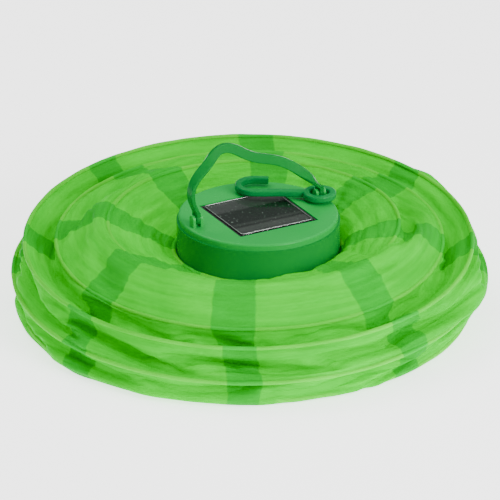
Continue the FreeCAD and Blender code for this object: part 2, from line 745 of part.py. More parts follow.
def switch_lever():
    """The slider, at the off end of its travel, with a ribbed thumb pad under the cap."""
    x, y = SWITCH_AT[0] - SWITCH_TRAVEL / 2, SWITCH_AT[1]
    sx, sy = SWITCH_STEM
    px, py, pz = SWITCH_PAD
    stem = block(x - sx / 2, x + sx / 2, y - sy / 2, y + sy / 2, -SWITCH_GAP - 0.2, BOARD_Z - 2.2)
    low = -SWITCH_GAP - pz
    pad = block(x - px / 2, x + px / 2, y - py / 2, y + py / 2, low, -SWITCH_GAP)
    pad = pad.makeFillet(0.4, [e for e in pad.Edges if abs(e.BoundBox.ZMax - low) < 1e-6])
    for i in (-1, 0, 1):
        pad = pad.fuse(block(x + i * 1.2 - 0.25, x + i * 1.2 + 0.25, y - py / 2 + 0.5, y + py / 2 - 0.5,
                             low - 0.3, low + 0.2))
    return stem.fuse(pad).removeSplitter()


def solar_wire(side):
    """A lead from the solar board down through the lid to the circuit board."""
    x, y = WIRE_HOLE
    top = board_top() - SOLAR_BOARD - 0.05
    foot = BOARD_Z + BOARD_THICK + 0.05
    third = (top - foot) / 3
    a = x + side * 1.2
    return rod([V(a, y, top), V(a, y, top - third), V(a + 1, y - 1, foot + third), V(a + 1, y - 1, foot)],
               LEAD_WIRE_R)


def battery_wire(side):
    """A lead from a battery contact over to the circuit board."""
    low, high = battery_ends()
    x = low + CONTACT_THICK / 2 if side < 0 else high - CONTACT_THICK / 2
    start = BASE_THICK + CELL_WALL_HEIGHT + 2.45
    foot = BOARD_Z + BOARD_THICK + 0.05
    over = lid_z() - LEAD_WIRE_R - 0.5
    across = side * (BOARD_X - 4)
    return rod([V(x, BATTERY_Y, start), V(x, BATTERY_Y, over), V(across, BOARD_Y[0] + 2, over),
                V(across, BOARD_Y[0] + 2, foot)], LEAD_WIRE_R)


def leads(side):
    """The wires of one polarity: -1 for minus, 1 for plus."""
    return Part.Compound([solar_wire(side), battery_wire(side)])


# ------------------------------------------------------------------------- build
os.makedirs("parts", exist_ok=True)
rings = rings_folded()
save("bottom_ring", bottom_ring())
for number in range(1, HOOP_COUNT + 1):
    save("hoop_%d" % number, hoop(*rings[number]))
    save("hem_%d" % number, hem(*rings[number]))
for number, shape in enumerate(cloth_panels(rings), 1):
    save("cloth_%d" % number, shape)

for name, made in (
    ("neck_ring", neck_ring()), ("cap_lid", lid()), ("cap_housing", housing()), ("cap_base", base()),
    ("cap_screws", cap_screws()), ("solar_foam", foam()), ("solar_board", solar_board()),
    ("solar_cells", solar_cells()), ("solar_resin", solar_resin()), ("leads_plus", leads(1)), ("leads_minus", leads(-1)),
    ("strap", strap()), ("hook", hook()), ("battery", battery()), ("battery_spring", battery_spring()),
    ("battery_plus_contact", plus_contact()), ("battery_door", battery_door()),
    ("door_screw", door_screw()), ("circuit_board", circuit_board()),
    ("driver_chip", driver_chip()), ("inductor", inductor()), ("lamp_led", led()), ("lamp_lens", lens()),
    ("switch_case", switch_case()), ("switch_lever", switch_lever()),
):
    save(name, made, cap=True)

for (radius, centre, axis), hung in zip(rings, heights_hung()):
    print("ring r %.2f at %.2f %.2f, folded %.2f, hung %.2f" % (radius, centre.x, centre.y, centre.z, hung))
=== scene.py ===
import math

import bpy
import numpy as np
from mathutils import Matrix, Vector, noise


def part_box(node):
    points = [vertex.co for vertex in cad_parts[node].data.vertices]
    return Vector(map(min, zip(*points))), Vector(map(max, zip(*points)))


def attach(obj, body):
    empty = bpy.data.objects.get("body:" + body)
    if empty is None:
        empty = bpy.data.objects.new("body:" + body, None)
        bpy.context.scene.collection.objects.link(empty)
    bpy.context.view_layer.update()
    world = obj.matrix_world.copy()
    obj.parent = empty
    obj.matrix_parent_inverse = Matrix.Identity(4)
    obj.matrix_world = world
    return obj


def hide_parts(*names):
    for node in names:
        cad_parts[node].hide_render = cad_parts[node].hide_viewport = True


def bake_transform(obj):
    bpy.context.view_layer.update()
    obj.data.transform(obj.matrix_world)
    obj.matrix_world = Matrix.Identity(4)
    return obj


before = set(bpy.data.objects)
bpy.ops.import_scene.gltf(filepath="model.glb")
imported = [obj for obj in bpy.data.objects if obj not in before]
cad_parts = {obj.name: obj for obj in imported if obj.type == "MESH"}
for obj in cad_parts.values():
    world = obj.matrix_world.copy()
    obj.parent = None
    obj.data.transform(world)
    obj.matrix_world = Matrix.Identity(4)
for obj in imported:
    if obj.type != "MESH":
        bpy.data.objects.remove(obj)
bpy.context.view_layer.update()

# ---------------------------------------------------------------- where it stands
# The folded lantern lies on a pale table top, seen from a little above, with its strap side to the far left.
# A big soft lamp is high on the near right and a weaker one behind on the left, under a white ceiling.
LOOK_FROM = -28.5
LOOK_DOWN = 24.0
DISTANCE = 2.6
across = Vector((math.cos(math.radians(LOOK_FROM)), math.sin(math.radians(LOOK_FROM)), 0))
near = Vector((across.y, -across.x, 0))
aim = across * 0.0013 + Vector((0, 0, 0.0326))
toward = near * math.cos(math.radians(LOOK_DOWN)) + Vector((0, 0, math.sin(math.radians(LOOK_DOWN))))


def deselect():
    """Leaves nothing selected, so that an operator acts only on what comes next."""
    if bpy.context.object and bpy.context.object.mode != "OBJECT":
        bpy.ops.object.mode_set(mode="OBJECT")
    bpy.ops.object.select_all(action="DESELECT")


def look_at(thing, place, target):
    thing.location = place
    thing.rotation_euler = (place - target).to_track_quat("Z", "Y").to_euler()


deselect()
bpy.ops.object.camera_add()
camera = bpy.context.object
camera.data.sensor_width = 36.0
camera.data.lens = 36.0 * DISTANCE / (500 / 1900)
camera.data.clip_end = 100
look_at(camera, aim + toward * DISTANCE, aim)
bpy.context.scene.camera = camera


def soft_lamp(place, size, watts):
    bpy.ops.object.light_add(type="AREA")
    lamp = bpy.context.object
    lamp.data.shape = "DISK"
    lamp.data.size = size
    lamp.data.energy = watts
    look_at(lamp, Vector(place), Vector((0, 0, 0.03)))


soft_lamp(near * 0.85 + across * 0.85 + Vector((0, 0, 0.62)), 0.7, 21.0)
soft_lamp(near * -0.5 - across * 0.45 + Vector((0, 0, 1.1)), 0.5, 5.0)

bpy.ops.mesh.primitive_plane_add(size=8)
table = bpy.context.object
table.name = "table_top"


def coordinates(tree, kind="Object"):
    """Where a pattern is read: the piece's own place, or one of its UV maps."""
    place = tree.nodes.new("ShaderNodeTexCoord")
    return place.outputs[kind]


def grain(tree, where, scale, detail=3.0, stretch=None):
    """Fine noise, stretched along an axis if asked."""
    noise = tree.nodes.new("ShaderNodeTexNoise")
    noise.inputs["Scale"].default_value = scale
    noise.inputs["Detail"].default_value = detail
    if stretch:
        turn = tree.nodes.new("ShaderNodeMapping")
        turn.inputs["Scale"].default_value = stretch
        tree.links.new(where, turn.inputs["Vector"])
        where = turn.outputs["Vector"]
    tree.links.new(where, noise.inputs["Vector"])
    return noise.outputs["Fac"]


def ramp(tree, value, stops):
    """Colours by value; stops are (position, colour) pairs."""
    node = tree.nodes.new("ShaderNodeValToRGB")
    band = node.color_ramp
    while len(band.elements) < len(stops):
        band.elements.new(0.5)
    for element, (position, colour) in zip(band.elements, stops):
        element.position = position
        element.color = (*colour, 1)
    tree.links.new(value, node.inputs["Fac"])
    return node.outputs["Color"]


def spread(tree, value, low, high):
    """A value from 0.3 to 0.7 spread over another range."""
    node = tree.nodes.new("ShaderNodeMapRange")
    node.inputs["From Min"].default_value = 0.3
    node.inputs["From Max"].default_value = 0.7
    node.inputs["To Min"].default_value = low
    node.inputs["To Max"].default_value = high
    tree.links.new(value, node.inputs["Value"])
    return node.outputs["Result"]


def bumped(tree, shader, height, depth):
    bump = tree.nodes.new("ShaderNodeBump")
    bump.inputs["Strength"].default_value = 0.6
    bump.inputs["Distance"].default_value = depth
    tree.links.new(height, bump.inputs["Height"])
    tree.links.new(bump.outputs["Normal"], shader.inputs["Normal"])


def finish(name, colour, rough=(0.3, 0.45), vary=0.12, cloud=25.0, fine=1500.0, depth=0.00002, metal=0.0,
           **sockets):
    """A material whose colour and gloss drift a little over the piece, with a fine grain in its surface."""
    made = bpy.data.materials.new(name)
    made.use_nodes = True
    tree = made.node_tree
    shader = tree.nodes["Principled BSDF"]
    where = coordinates(tree)
    patchy = grain(tree, where, cloud)
    darker = tuple(c * (1 - vary) for c in colour)
    lighter = tuple(min(1, c * (1 + vary)) for c in colour)
    tree.links.new(ramp(tree, patchy, [(0.35, darker), (0.65, lighter)]), shader.inputs["Base Color"])
    surface = grain(tree, where, fine, 4.0)
    tree.links.new(spread(tree, grain(tree, where, cloud * 4), *rough), shader.inputs["Roughness"])
    bumped(tree, shader, surface, depth)
    shader.inputs["Metallic"].default_value = metal
    for socket, value in sockets.items():
        shader.inputs[socket.replace("_", " ")].default_value = value
    return made


def dress(material, slot, *names):
    """Gives the named parts a material; the slot it is handed is not used."""
    for name in names:
        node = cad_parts[name]
        for one in node.material_slots:
            one.material = material
        if not node.material_slots:
            node.data.materials.append(material)


room = bpy.data.worlds.new("room")
room.use_nodes = True
tree = room.node_tree
height = tree.nodes.new("ShaderNodeSeparateXYZ")
tree.links.new(coordinates(tree, "Generated"), height.inputs["Vector"])
sky = ramp(tree, height.outputs["Z"], [(0.45, (0.20, 0.20, 0.20)), (0.72, (1.0, 1.0, 1.0))])
tree.links.new(sky, tree.nodes["Background"].inputs["Color"])
tree.nodes["Background"].inputs["Strength"].default_value = 1.35
bpy.context.scene.world = room

table.data.materials.append(
    finish("table_white", (0.93, 0.93, 0.93), (0.6, 0.7), 0.01, 3.0, 200.0, 0.00001,
           Emission_Color=(1, 1, 1, 1), Emission_Strength=2.0))

# ---------------------------------------------------------------- bottom ring
# A flat moulded ring of white-green polypropylene, round the globe's lower opening.
# The first panel of cloth is sewn over it, and the folded stack stands on it.
ring_plastic = finish("ring_plastic", (0.10, 0.36, 0.10), (0.35, 0.5), 0.1, 40.0)
dress(ring_plastic, "ring_plastic", "bottom_ring")

# ---------------------------------------------------------------- wire hoops
# Seven round hoops of spring steel wire keep the globe open. Each is butt-welded, and lies in a sewn sleeve.
# The wire is drawn, so its scratches run along it.
HOOPS = range(1, 8)
spring_steel = finish("spring_steel", (0.42, 0.43, 0.44), (0.25, 0.4), 0.1, 60.0, 2500.0, 0.00001, 1.0)
dress(spring_steel, "hoop_wire", *[f"hoop_{k}" for k in HOOPS])


def points_of(name):
    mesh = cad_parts[name].data
    co = np.zeros(len(mesh.vertices) * 3, np.float32)
    mesh.vertices.foreach_get("co", co)
    return co.reshape(-1, 3).astype(float)


class Ring:
    """A ring's centre, axis and radius, found from the points of its solid."""

    def __init__(self, name):
        co = points_of(name)
        self.middle = co.mean(0)
        axis = np.linalg.svd(co - self.middle, full_matrices=False)[2][2]
        self.axis = axis * (1 if axis[2] > 0 else -1)
        u = np.cross((0, 1, 0), self.axis)
        self.u = u / np.linalg.norm(u)
        self.v = np.cross(self.axis, self.u)
        x, y = (co - self.middle) @ self.u, (co - self.middle) @ self.v
        fit = np.linalg.lstsq(np.stack([2 * x, 2 * y, np.ones(len(x))], 1), x * x + y * y, rcond=None)[0]
        self.middle = self.middle + fit[0] * self.u + fit[1] * self.v
        self.radius = math.sqrt(fit[2] + fit[0] ** 2 + fit[1] ** 2)

    def circle(self, angles, radius=None):
        """Points round the ring at these angles."""
        r = self.radius if radius is None else radius
        return self.middle + r * (np.cos(angles)[:, None] * self.u + np.sin(angles)[:, None] * self.v)


# ---------------------------------------------------------------- globe
# The globe is thin green nylon, sewn from eight gores whose overlapped seams show as darker double bands.
# Pressed flat, it folds between its hoops: the low panels on the table, the upper ones round the cap.
AROUND = 160
ROWS = 9
ARCH_STEPS = 12
GORES = 8
SEAM_AT = 237.5
GLOBE_R = 0.1234
GLOBE_TALL = 0.109
CREASE_RING = (0.104, 0.0285)
CREST = {1: 0.0082, 2: 0.0116, 3: 0.0138}
TURNED = (0, 1.5, 2.5, 3.2, 3.3, 1.8, -0.6, -2.6, -2.2)  # degrees that each ring has turned in folding
WORLD_SIZE = 10.0  # the cloth is simulated ten times as large, where the solver is steadier
FOLD_DEPTH = 0.0014
FOLDS_ROUND = 2.6
FOLDS_UP = 2.4  # folds to each centimetre of cloth between the hoops

rings = [Ring("bottom_ring")] + [Ring(f"hem_{k}") for k in HOOPS] + [Ring("neck_ring")]
bodies = ["bottom_ring"] + [f"hoop_{k}" for k in HOOPS] + ["cap"]
angles = np.radians(SEAM_AT) + np.arange(AROUND) * 2 * math.pi / AROUND
first_cut = math.asin(rings[0].radius / GLOBE_R)
last_cut = math.pi - math.asin(rings[8].radius / GLOBE_R)


def cut_row(k):
    """A row of the opened globe, k panels up from the bottom ring."""
    a = first_cut + (last_cut - first_cut) * k / 8
    r, z = GLOBE_R * math.sin(a), GLOBE_TALL * (math.cos(first_cut) - math.cos(a))
    return np.stack([r * np.cos(angles), r * np.sin(angles), np.full(AROUND, z)], 1)


def ring_row(k, radius=None):
    return rings[k].circle(angles + math.radians(TURNED[k]), radius)


def crease_row():
    """The bottom of the pocket between the fifth and sixth hoops, level with the fifth hoop's lean."""
    low, high = rings[5], rings[6]
    mid = (low.middle + high.middle) / 2
    mid[2] = CREASE_RING[1]
    turn = angles + math.radians((TURNED[5] + TURNED[6]) / 2)
    wavy = CREASE_RING[0] + 0.0006 * np.sin(7 * turn + 1.0) + 0.0004 * np.sin(13 * turn)
    lean = low.circle(turn)[:, 2] - low.middle[2]
    row = mid + wavy[:, None] * np.stack([np.cos(turn), np.sin(turn), np.zeros(AROUND)], 1)
    row[:, 2] += lean * 0.7 + 0.0007 * np.sin(9 * turn + 0.4)
    return row


def draped_rows(first, last):
    """Rows of cloth between two rings: where they are cut, where they might lie, and which are held."""
    cut, laid, held = [], [], []
    for k in range(first, last):
        for i in range(ROWS + 1 if k == last - 1 else ROWS):
            t = i / ROWS
            cut.append(cut_row(k + t))
            laid.append(ring_row(k) * (1 - t) + ring_row(k + 1) * t)
            held.append(i in (0, ROWS))
            if k == 5 and i == ROWS // 2:
                laid[-1] = crease_row()
                held[-1] = True
    return cut, laid, held


def grid_mesh(name, rows):
    """A mesh of rows of points joined all round, with its faces outwards."""
    n = AROUND
    faces = [
        (j * n + i, j * n + (i + 1) % n, (j + 1) * n + (i + 1) % n, (j + 1) * n + i)
        for j in range(len(rows) - 1)
        for i in range(n)
    ]
    mesh = bpy.data.meshes.new(name)
    mesh.from_pydata([tuple(p) for p in np.concatenate(rows)], [], faces)
    mesh.update()
    return mesh


def settle(cut, laid, held):
    """Lets the cloth fall from its opened shape while its rings come down to their folded places."""
    mesh = grid_mesh("falling", [row * WORLD_SIZE for row in cut])
    cloth = bpy.data.objects.new("falling", mesh)
    bpy.context.scene.collection.objects.link(cloth)
    sewn = cloth.vertex_groups.new(name="sewn")
    for j, fixed in enumerate(held):
        if fixed:
            sewn.add(list(range(j * AROUND, (j + 1) * AROUND)), 1.0, "REPLACE")
    cloth.shape_key_add(name="Basis")
    folded = cloth.shape_key_add(name="folded")
    folded.data.foreach_set("co", (np.concatenate(laid) * WORLD_SIZE).ravel())
    closing, resting = 40, 12
    folded.value = 0
    folded.keyframe_insert("value", frame=1)
    folded.value = 1
    folded.keyframe_insert("value", frame=closing)
    fall = cloth.modifiers.new("fall", "CLOTH")
    stuff = fall.settings
    stuff.quality = 7
    stuff.mass = 0.15
    stuff.tension_stiffness = stuff.compression_stiffness = 20
    stuff.shear_stiffness = 8
    stuff.bending_stiffness = 4.0
    stuff.tension_damping = stuff.compression_damping = stuff.shear_damping = 8
    stuff.bending_damping = 0.8
    stuff.air_damping = 2.0
    stuff.use_pressure = True
    stuff.uniform_pressure_force = 0.6
    stuff.vertex_group_mass = "sewn"
    stuff.pin_stiffness = 1.0
    touch = fall.collision_settings
    touch.distance_min = 0.008
    touch.use_self_collision = True
    touch.self_distance_min = 0.012
    touch.self_friction = 2.0
    touch.collision_quality = 3
    fall.point_cache.frame_start = 1
    fall.point_cache.frame_end = closing + resting
    table.modifiers.new("stop", "COLLISION")
    table.collision.thickness_outer = 0.004
    scene = bpy.context.scene
    scene.frame_start, scene.frame_end = 1, closing + resting
    for number in range(1, closing + resting + 1):
        scene.frame_set(number)
    done = cloth.evaluated_get(bpy.context.evaluated_depsgraph_get())
    co = np.zeros(len(done.data.vertices) * 3)
    done.data.vertices.foreach_get("co", co)
    bpy.data.objects.remove(cloth)
    bpy.data.meshes.remove(mesh)
    table.modifiers.clear()
    scene.frame_set(1)
    return list(co.reshape(len(cut), AROUND, 3) / WORLD_SIZE)


cut, laid, held = draped_rows(3, 8)
laid = settle(cut, laid, held)


def panel_rows(k):
    start = (k - 4) * ROWS
    return laid[start:start + ROWS + 1]


def arch_rows(k):
    """A low panel's rows: up from the ring within to a crest, and down to the ring outside it."""
    low, high = ring_row(k - 1), ring_row(k)
    rows = []
    for i in range(ARCH_STEPS + 1):
        t = i / ARCH_STEPS
        base = low * (1 - t) + high * t
        wave = 0.10 * np.sin(6 * angles + k) + 0.07 * np.sin(17 * angles + 2 * k) + 0.05 * np.sin(29 * angles)
        rise = math.sin(math.pi * t) ** 0.85 * CREST[k]
        base[:, 2] += rise * (1 + wave * math.sin(math.pi * t))
        rows.append(base)
    return rows


def seam_half_width(row):
    """Half the width of a doubled seam at a row: widest above the middle, narrower toward the neck."""
    return float(np.interp(row, (0, 3, 5.3, 6.3, 7.2, 8), (0.006, 0.0088, 0.0092, 0.0108, 0.0100, 0.0072)))


def press_folds(mesh):
    """Presses fine folds into the cloth: long round the globe, short from hoop to hoop, none at its edges."""
    corners = np.zeros(len(mesh.loops), int)
    mesh.loops.foreach_get("vertex_index", corners)
    places = np.zeros(len(mesh.loops) * 2)
    mesh.uv_layers["seam"].data.foreach_get("uv", places)
    height = np.zeros(len(mesh.vertices))
    height[corners] = places[1::2]
    share = (height - height.min()) / np.ptp(height)
    normals = [vertex.normal.copy() for vertex in mesh.vertices]
    for vertex, normal, up_cloth, t in zip(mesh.vertices, normals, height, share):
        spoke = Vector((vertex.co.x, vertex.co.y, 0)).normalized() * FOLDS_ROUND
        fold = noise.fractal((spoke.x, spoke.y, up_cloth * FOLDS_UP), 0.9, 2.0, 2)
        loose = math.sqrt(max(0.0, math.sin(math.pi * t)))
        vertex.co += normal * FOLD_DEPTH * loose * fold
    mesh.update()


def cloth_piece(name, rows, row_numbers, folded=True):
    """One ring of cloth as its own object, with a UV map that counts from its nearest seam."""
    mesh = grid_mesh(name, rows)
    piece = bpy.data.objects.new(name, mesh)
    bpy.context.scene.collection.objects.link(piece)
    seam = mesh.uv_layers.new(name="seam")
    gore = AROUND // GORES
    radius = [GLOBE_R * math.sin(first_cut + (last_cut - first_cut) * r / 8) for r in row_numbers]
    for face in mesh.polygons:
        column = face.index % AROUND
        centre = ((column + gore // 2) // gore) * gore
        for loop in face.loop_indices:
            vertex = mesh.loops[loop].vertex_index
            j, i = divmod(vertex, AROUND)
            if i < column:
                i += AROUND
            off = (i - centre) * 2 * math.pi / AROUND * radius[j]
            height = (last_cut - first_cut) * GLOBE_R * row_numbers[j] / 8
            seam.data[loop].uv = (off / seam_half_width(row_numbers[j]), height * 100)
    mesh.shade_smooth()
    deselect()
    bpy.context.view_layer.objects.active = piece
    piece.select_set(True)
    smooth = piece.modifiers.new("smooth", "SUBSURF")
    smooth.levels = smooth.render_levels = 2 if folded else 1
    bpy.ops.object.modifier_apply(modifier="smooth")
    if folded:
        press_folds(mesh)
    return piece


def calc(tree, operation, a, b=None):
    """One sum on sockets or numbers."""
    node = tree.nodes.new("ShaderNodeMath")
    node.operation = operation
    for socket, value in zip(node.inputs, (a, b)):
        if value is None:
            continue
        if isinstance(value, (int, float)):
            socket.default_value = value
        else:
            tree.links.new(value, socket)
    return node.outputs["Value"]


def concentric(tree, where, rows, around, along):
    """Noise drawn out along the hoops: it changes slowly round the globe and quickly from hoop to hoop."""
    flat = tree.nodes.new("ShaderNodeVectorMath")
    flat.operation = "MULTIPLY"
    flat.inputs[1].default_value = (1, 1, 0)
    tree.links.new(where, flat.inputs[0])
    spoke = tree.nodes.new("ShaderNodeVectorMath")
    spoke.operation = "NORMALIZE"
    tree.links.new(flat.outputs[0], spoke.inputs[0])
    parts = tree.nodes.new("ShaderNodeSeparateXYZ")
    tree.links.new(spoke.outputs[0], parts.inputs[0])
    joined = tree.nodes.new("ShaderNodeCombineXYZ")
    tree.links.new(calc(tree, "MULTIPLY", parts.outputs["X"], around), joined.inputs["X"])
    tree.links.new(calc(tree, "MULTIPLY", parts.outputs["Y"], around), joined.inputs["Y"])
    tree.links.new(calc(tree, "MULTIPLY", rows, along), joined.inputs["Z"])
    return grain(tree, joined.outputs["Vector"], 1.0, 3.0)


def nylon_cloth(name, single, double):
    """Thin woven nylon that lets light through, darker where two layers are sewn together, with painted shade
    in its fold hollows and painted light on their crests.
    """
    made = bpy.data.materials.new(name)
    made.use_nodes = True
    tree = made.node_tree
    shader = tree.nodes["Principled BSDF"]
    where = coordinates(tree)
    uv = tree.nodes.new("ShaderNodeUVMap")
    uv.uv_map = "seam"
    axes = tree.nodes.new("ShaderNodeSeparateXYZ")
    tree.links.new(uv.outputs["UV"], axes.inputs["Vector"])
    wander = calc(tree, "MULTIPLY", calc(tree, "SUBTRACT", grain(tree, where, 45.0, 2.0), 0.5), 0.55)
    from_seam = calc(tree, "ABSOLUTE", calc(tree, "ADD", axes.outputs["X"], wander))
    edge = tree.nodes.new("ShaderNodeMapRange")
    edge.interpolation_type = "SMOOTHSTEP"
    edge.inputs["From Min"].default_value = 0.94
    edge.inputs["From Max"].default_value = 1.06
    edge.inputs["To Min"].default_value = 1.0
    edge.inputs["To Max"].default_value = 0.0
    tree.links.new(from_seam, edge.inputs["Value"])
    doubled = edge.outputs["Result"]
    folds = concentric(tree, where, axes.outputs["Y"], FOLDS_ROUND, FOLDS_UP * 1.5)
    # Colour follows the fold relief as well as random patches: painted shade in the fold hollows and painted
    # light on their crests.
    patches_and_fold_shade = calc(tree, "ADD", calc(tree, "MULTIPLY", grain(tree, where, 30.0), 0.5),
                   calc(tree, "MULTIPLY", folds, 0.5))
    tone = tree.nodes.new("ShaderNodeMix")
    tone.data_type = "RGBA"
    tree.links.new(doubled, tone.inputs["Factor"])
    tree.links.new(ramp(tree, patches_and_fold_shade, [(0.35, single[0]), (0.62, single[1])]), tone.inputs[6])
    tree.links.new(ramp(tree, patches_and_fold_shade, [(0.35, double[0]), (0.62, double[1])]), tone.inputs[7])
    colour = tone.outputs[2]
    tree.links.new(colour, shader.inputs["Base Color"])
    tree.links.new(spread(tree, grain(tree, where, 200.0), 0.45, 0.62), shader.inputs["Roughness"])
    shader.inputs["Sheen Weight"].default_value = 0.02
    shader.inputs["Sheen Roughness"].default_value = 0.4
    shader.inputs["Sheen Tint"].default_value = (0.3, 1.0, 0.2, 1)
    shader.inputs["Specular IOR Level"].default_value = 0.07
    threads = []
    for direction, scale in (("X", 38.0), ("Y", 30.0)):
        wave = tree.nodes.new("ShaderNodeTexWave")
        wave.bands_direction = direction
        wave.inputs["Scale"].default_value = scale
        wave.inputs["Distortion"].default_value = 0.6
        tree.links.new(uv.outputs["UV"], wave.inputs["Vector"])
        threads.append(wave.outputs["Fac"])
    weave = calc(tree, "MULTIPLY", calc(tree, "ADD", *threads), 0.02)
    relief = calc(tree, "ADD", calc(tree, "ADD", weave, calc(tree, "MULTIPLY", doubled, 0.12)), folds)
    bumped(tree, shader, relief, 0.0016)
    glow = tree.nodes.new("ShaderNodeBsdfTranslucent")
    tree.links.new(colour, glow.inputs["Color"])
    share = tree.nodes.new("ShaderNodeMapRange")
    share.inputs["To Min"].default_value = 0.42
    share.inputs["To Max"].default_value = 0.30
    tree.links.new(doubled, share.inputs["Value"])
    sheer = tree.nodes.new("ShaderNodeMixShader")
    tree.links.new(share.outputs["Result"], sheer.inputs["Fac"])
    tree.links.new(shader.outputs["BSDF"], sheer.inputs[1])
    tree.links.new(glow.outputs["BSDF"], sheer.inputs[2])
    tree.links.new(sheer.outputs["Shader"], tree.nodes["Material Output"].inputs["Surface"])
    return made


nylon = nylon_cloth("green_nylon", single=((0.014, 0.62, 0.004), (0.050, 0.82, 0.009)),
                    double=((0.0, 0.38, 0.010), (0.001, 0.52, 0.016)))


def level(ring, axis):
    """The lowest and highest places of a ring's points along a direction."""
    along = ring.circle(angles) @ axis
    return along.min(), along.max()


def mean_axis(a, b):
    axis = rings[a].axis + rings[b].axis
    return axis / np.linalg.norm(axis)


def blend_between(piece, start, end):
    """Bakes the piece's place into its mesh; start and end are not used."""
    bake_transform(piece)


cuts = []  # each piece of cloth, the rows it was cut from, how it lies, and on what
for k in (1, 2, 3):
    rows = arch_rows(k)
    top = ARCH_STEPS // 2
    marks = [k - 1 + i / ARCH_STEPS for i in range(ARCH_STEPS + 1)]
    rising = cloth_piece(f"globe_panel_{k}_inner", rows[:top + 1], marks[:top + 1])
    falling = cloth_piece(f"globe_panel_{k}_outer", rows[top:], marks[top:])
    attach(rising, bodies[k - 1])
    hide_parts(f"cloth_{k}")
    axis = rings[k].axis
    crest = (rows[top] @ axis).min()
    blend_between(falling, crest, level(rings[k], axis)[1])
    cuts += [(rising, marks[0], marks[top], "folded", bodies[k - 1])]
    cuts += [(falling, marks[top], marks[-1], "folded", bodies[k])]

for k in (4, 5, 7, 8):
    marks = [k - 1 + i / ROWS for i in range(ROWS + 1)]
    rows = panel_rows(k)
    axis = mean_axis(k - 1, k)
    low, high = level(rings[k - 1], axis), level(rings[k], axis)
    piece = cloth_piece(f"globe_panel_{k}", rows, marks)
    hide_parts(f"cloth_{k}")
    if k == 8:
        blend_between(piece, low[0], high[1])
    else:
        blend_between(piece, low[1], high[0])
    cuts += [(piece, marks[0], marks[-1], "gathered", bodies[k - 1])]

rows = panel_rows(6)
half = ROWS // 2
marks = [5 + i / ROWS for i in range(ROWS + 1)]
outer = cloth_piece("globe_panel_6_outer", rows[:half + 1], marks[:half + 1])
inner = cloth_piece("globe_panel_6_inner", rows[half:], marks[half:])
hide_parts("cloth_6")
axis = rings[5].axis
pocket = (rows[half] @ axis).max()
blend_between(outer, level(rings[5], axis)[0], pocket)
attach(inner, "hoop_6")
cuts += [(outer, marks[0], marks[half], "folded", "hoop_5")]
cuts += [(inner, marks[half], marks[-1], "folded", "hoop_6")]
for piece, *_ in cuts:
    piece.data.materials.append(nylon)

# ---------------------------------------------------------------- hems
# Each hoop lies in a sleeve of the same nylon, folded over the wire and sewn along its edge, coloured a paler
# green than the globe: a painted highlight along each hoop's ridge.
# The sewing draws the sleeve in, so it is full of small puckers.
HEM_R = 0.00122
NECK_HEM_R = 0.0013
HEM_SIDES = 8


def hem_rows(k, thick):
    """Rows of a sleeve round a ring's wire, from its inner side round the outside and back."""
    core = ring_row(k)
    spoke = (core - rings[k].middle) / rings[k].radius
    rows = []
    for step in range(HEM_SIDES + 1):
        turn = math.pi + 2 * math.pi * step / HEM_SIDES
        drawn = 0.07 * np.sin(19 * angles + k) + 0.06 * np.sin(31 * angles + 2 * k + turn)
        drawn += 0.05 * np.sin(53 * angles)
        outward = math.cos(turn) * spoke + math.sin(turn) * rings[k].axis
        rows.append(core + thick * (1 + drawn)[:, None] * outward)
    return rows


# Painted highlight: the sleeves' tones are paler than the globe's cloth, so each hoop shows as a bright
# ridge.
hem_nylon_painted_highlight = nylon_cloth("hem_nylon_painted_highlight", single=((0.07, 0.80, 0.014), (0.13, 0.90, 0.03)),
                        double=((0.001, 0.50, 0.015), (0.005, 0.62, 0.025)))


for k in (*HOOPS, 8):
    thick = NECK_HEM_R if k == 8 else HEM_R
    marks = [k + 0.01 * step for step in range(HEM_SIDES + 1)]
    hem = cloth_piece(f"hem_sleeve_{k}", hem_rows(k, thick), marks, folded=False)
    hem.data.materials.append(hem_nylon_painted_highlight)
    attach(hem, bodies[k])
    if k < 8:
        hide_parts(f"hem_{k}")

# ---------------------------------------------------------------- cap base
# The cap's underside: a moulded green ABS plate with a flange, clips for the neck wire and bosses for screws.
# The neck wire is a closed hoop of the same steel as the others, and the cloth's neck is hemmed round it.
cap_plastic = finish("cap_plastic", (0.0, 0.22, 0.026), (0.22, 0.32), 0.07, 18.0, 2200.0, 0.000008,
                     Specular_IOR_Level=0.15)
dress(cap_plastic, "cap_plastic", "cap_base")
dress(spring_steel, "hoop_wire", "neck_ring")
zinc = finish("screw_zinc", (0.55, 0.55, 0.56), (0.25, 0.4), 0.1, 300.0, 4000.0, 0.00001, 1.0)
dress(zinc, "screws", "cap_screws", "door_screw")

# ---------------------------------------------------------------- battery
# One AAA nickel cell lies between a coil spring and a flat contact, behind a door that one screw holds.
# The cell's sleeve is shrunk plastic, and the contacts are nickel-plated strip.
cell_sleeve = finish("cell_sleeve", (0.03, 0.20, 0.09), (0.25, 0.35), 0.08, 80.0, 900.0, 0.00001,
                     Coat_Weight=0.3)
nickel = finish("nickel_plate", (0.60, 0.58, 0.54), (0.2, 0.35), 0.08, 300.0, 3000.0, 0.00001, 1.0)
dress(cell_sleeve, "battery", "battery")
dress(nickel, "contacts", "battery_spring", "battery_plus_contact")
dress(cap_plastic, "cap_plastic", "battery_door")

# ---------------------------------------------------------------- lamp
# A white 5 mm LED hangs from the board through the base, under a frosted clear dome that scatters its light.
led_epoxy = finish("led_epoxy", (0.92, 0.93, 0.90), (0.08, 0.14), 0.03, 400.0, 900.0, 0.000004,
                   Transmission_Weight=0.75, IOR=1.5)
frosted = finish("frosted_dome", (0.90, 0.93, 0.92), (0.35, 0.5), 0.03, 120.0, 2600.0, 0.00002,
                 Transmission_Weight=0.85, IOR=1.49)
dress(led_epoxy, "led", "lamp_led")
dress(frosted, "lens", "lamp_lens")

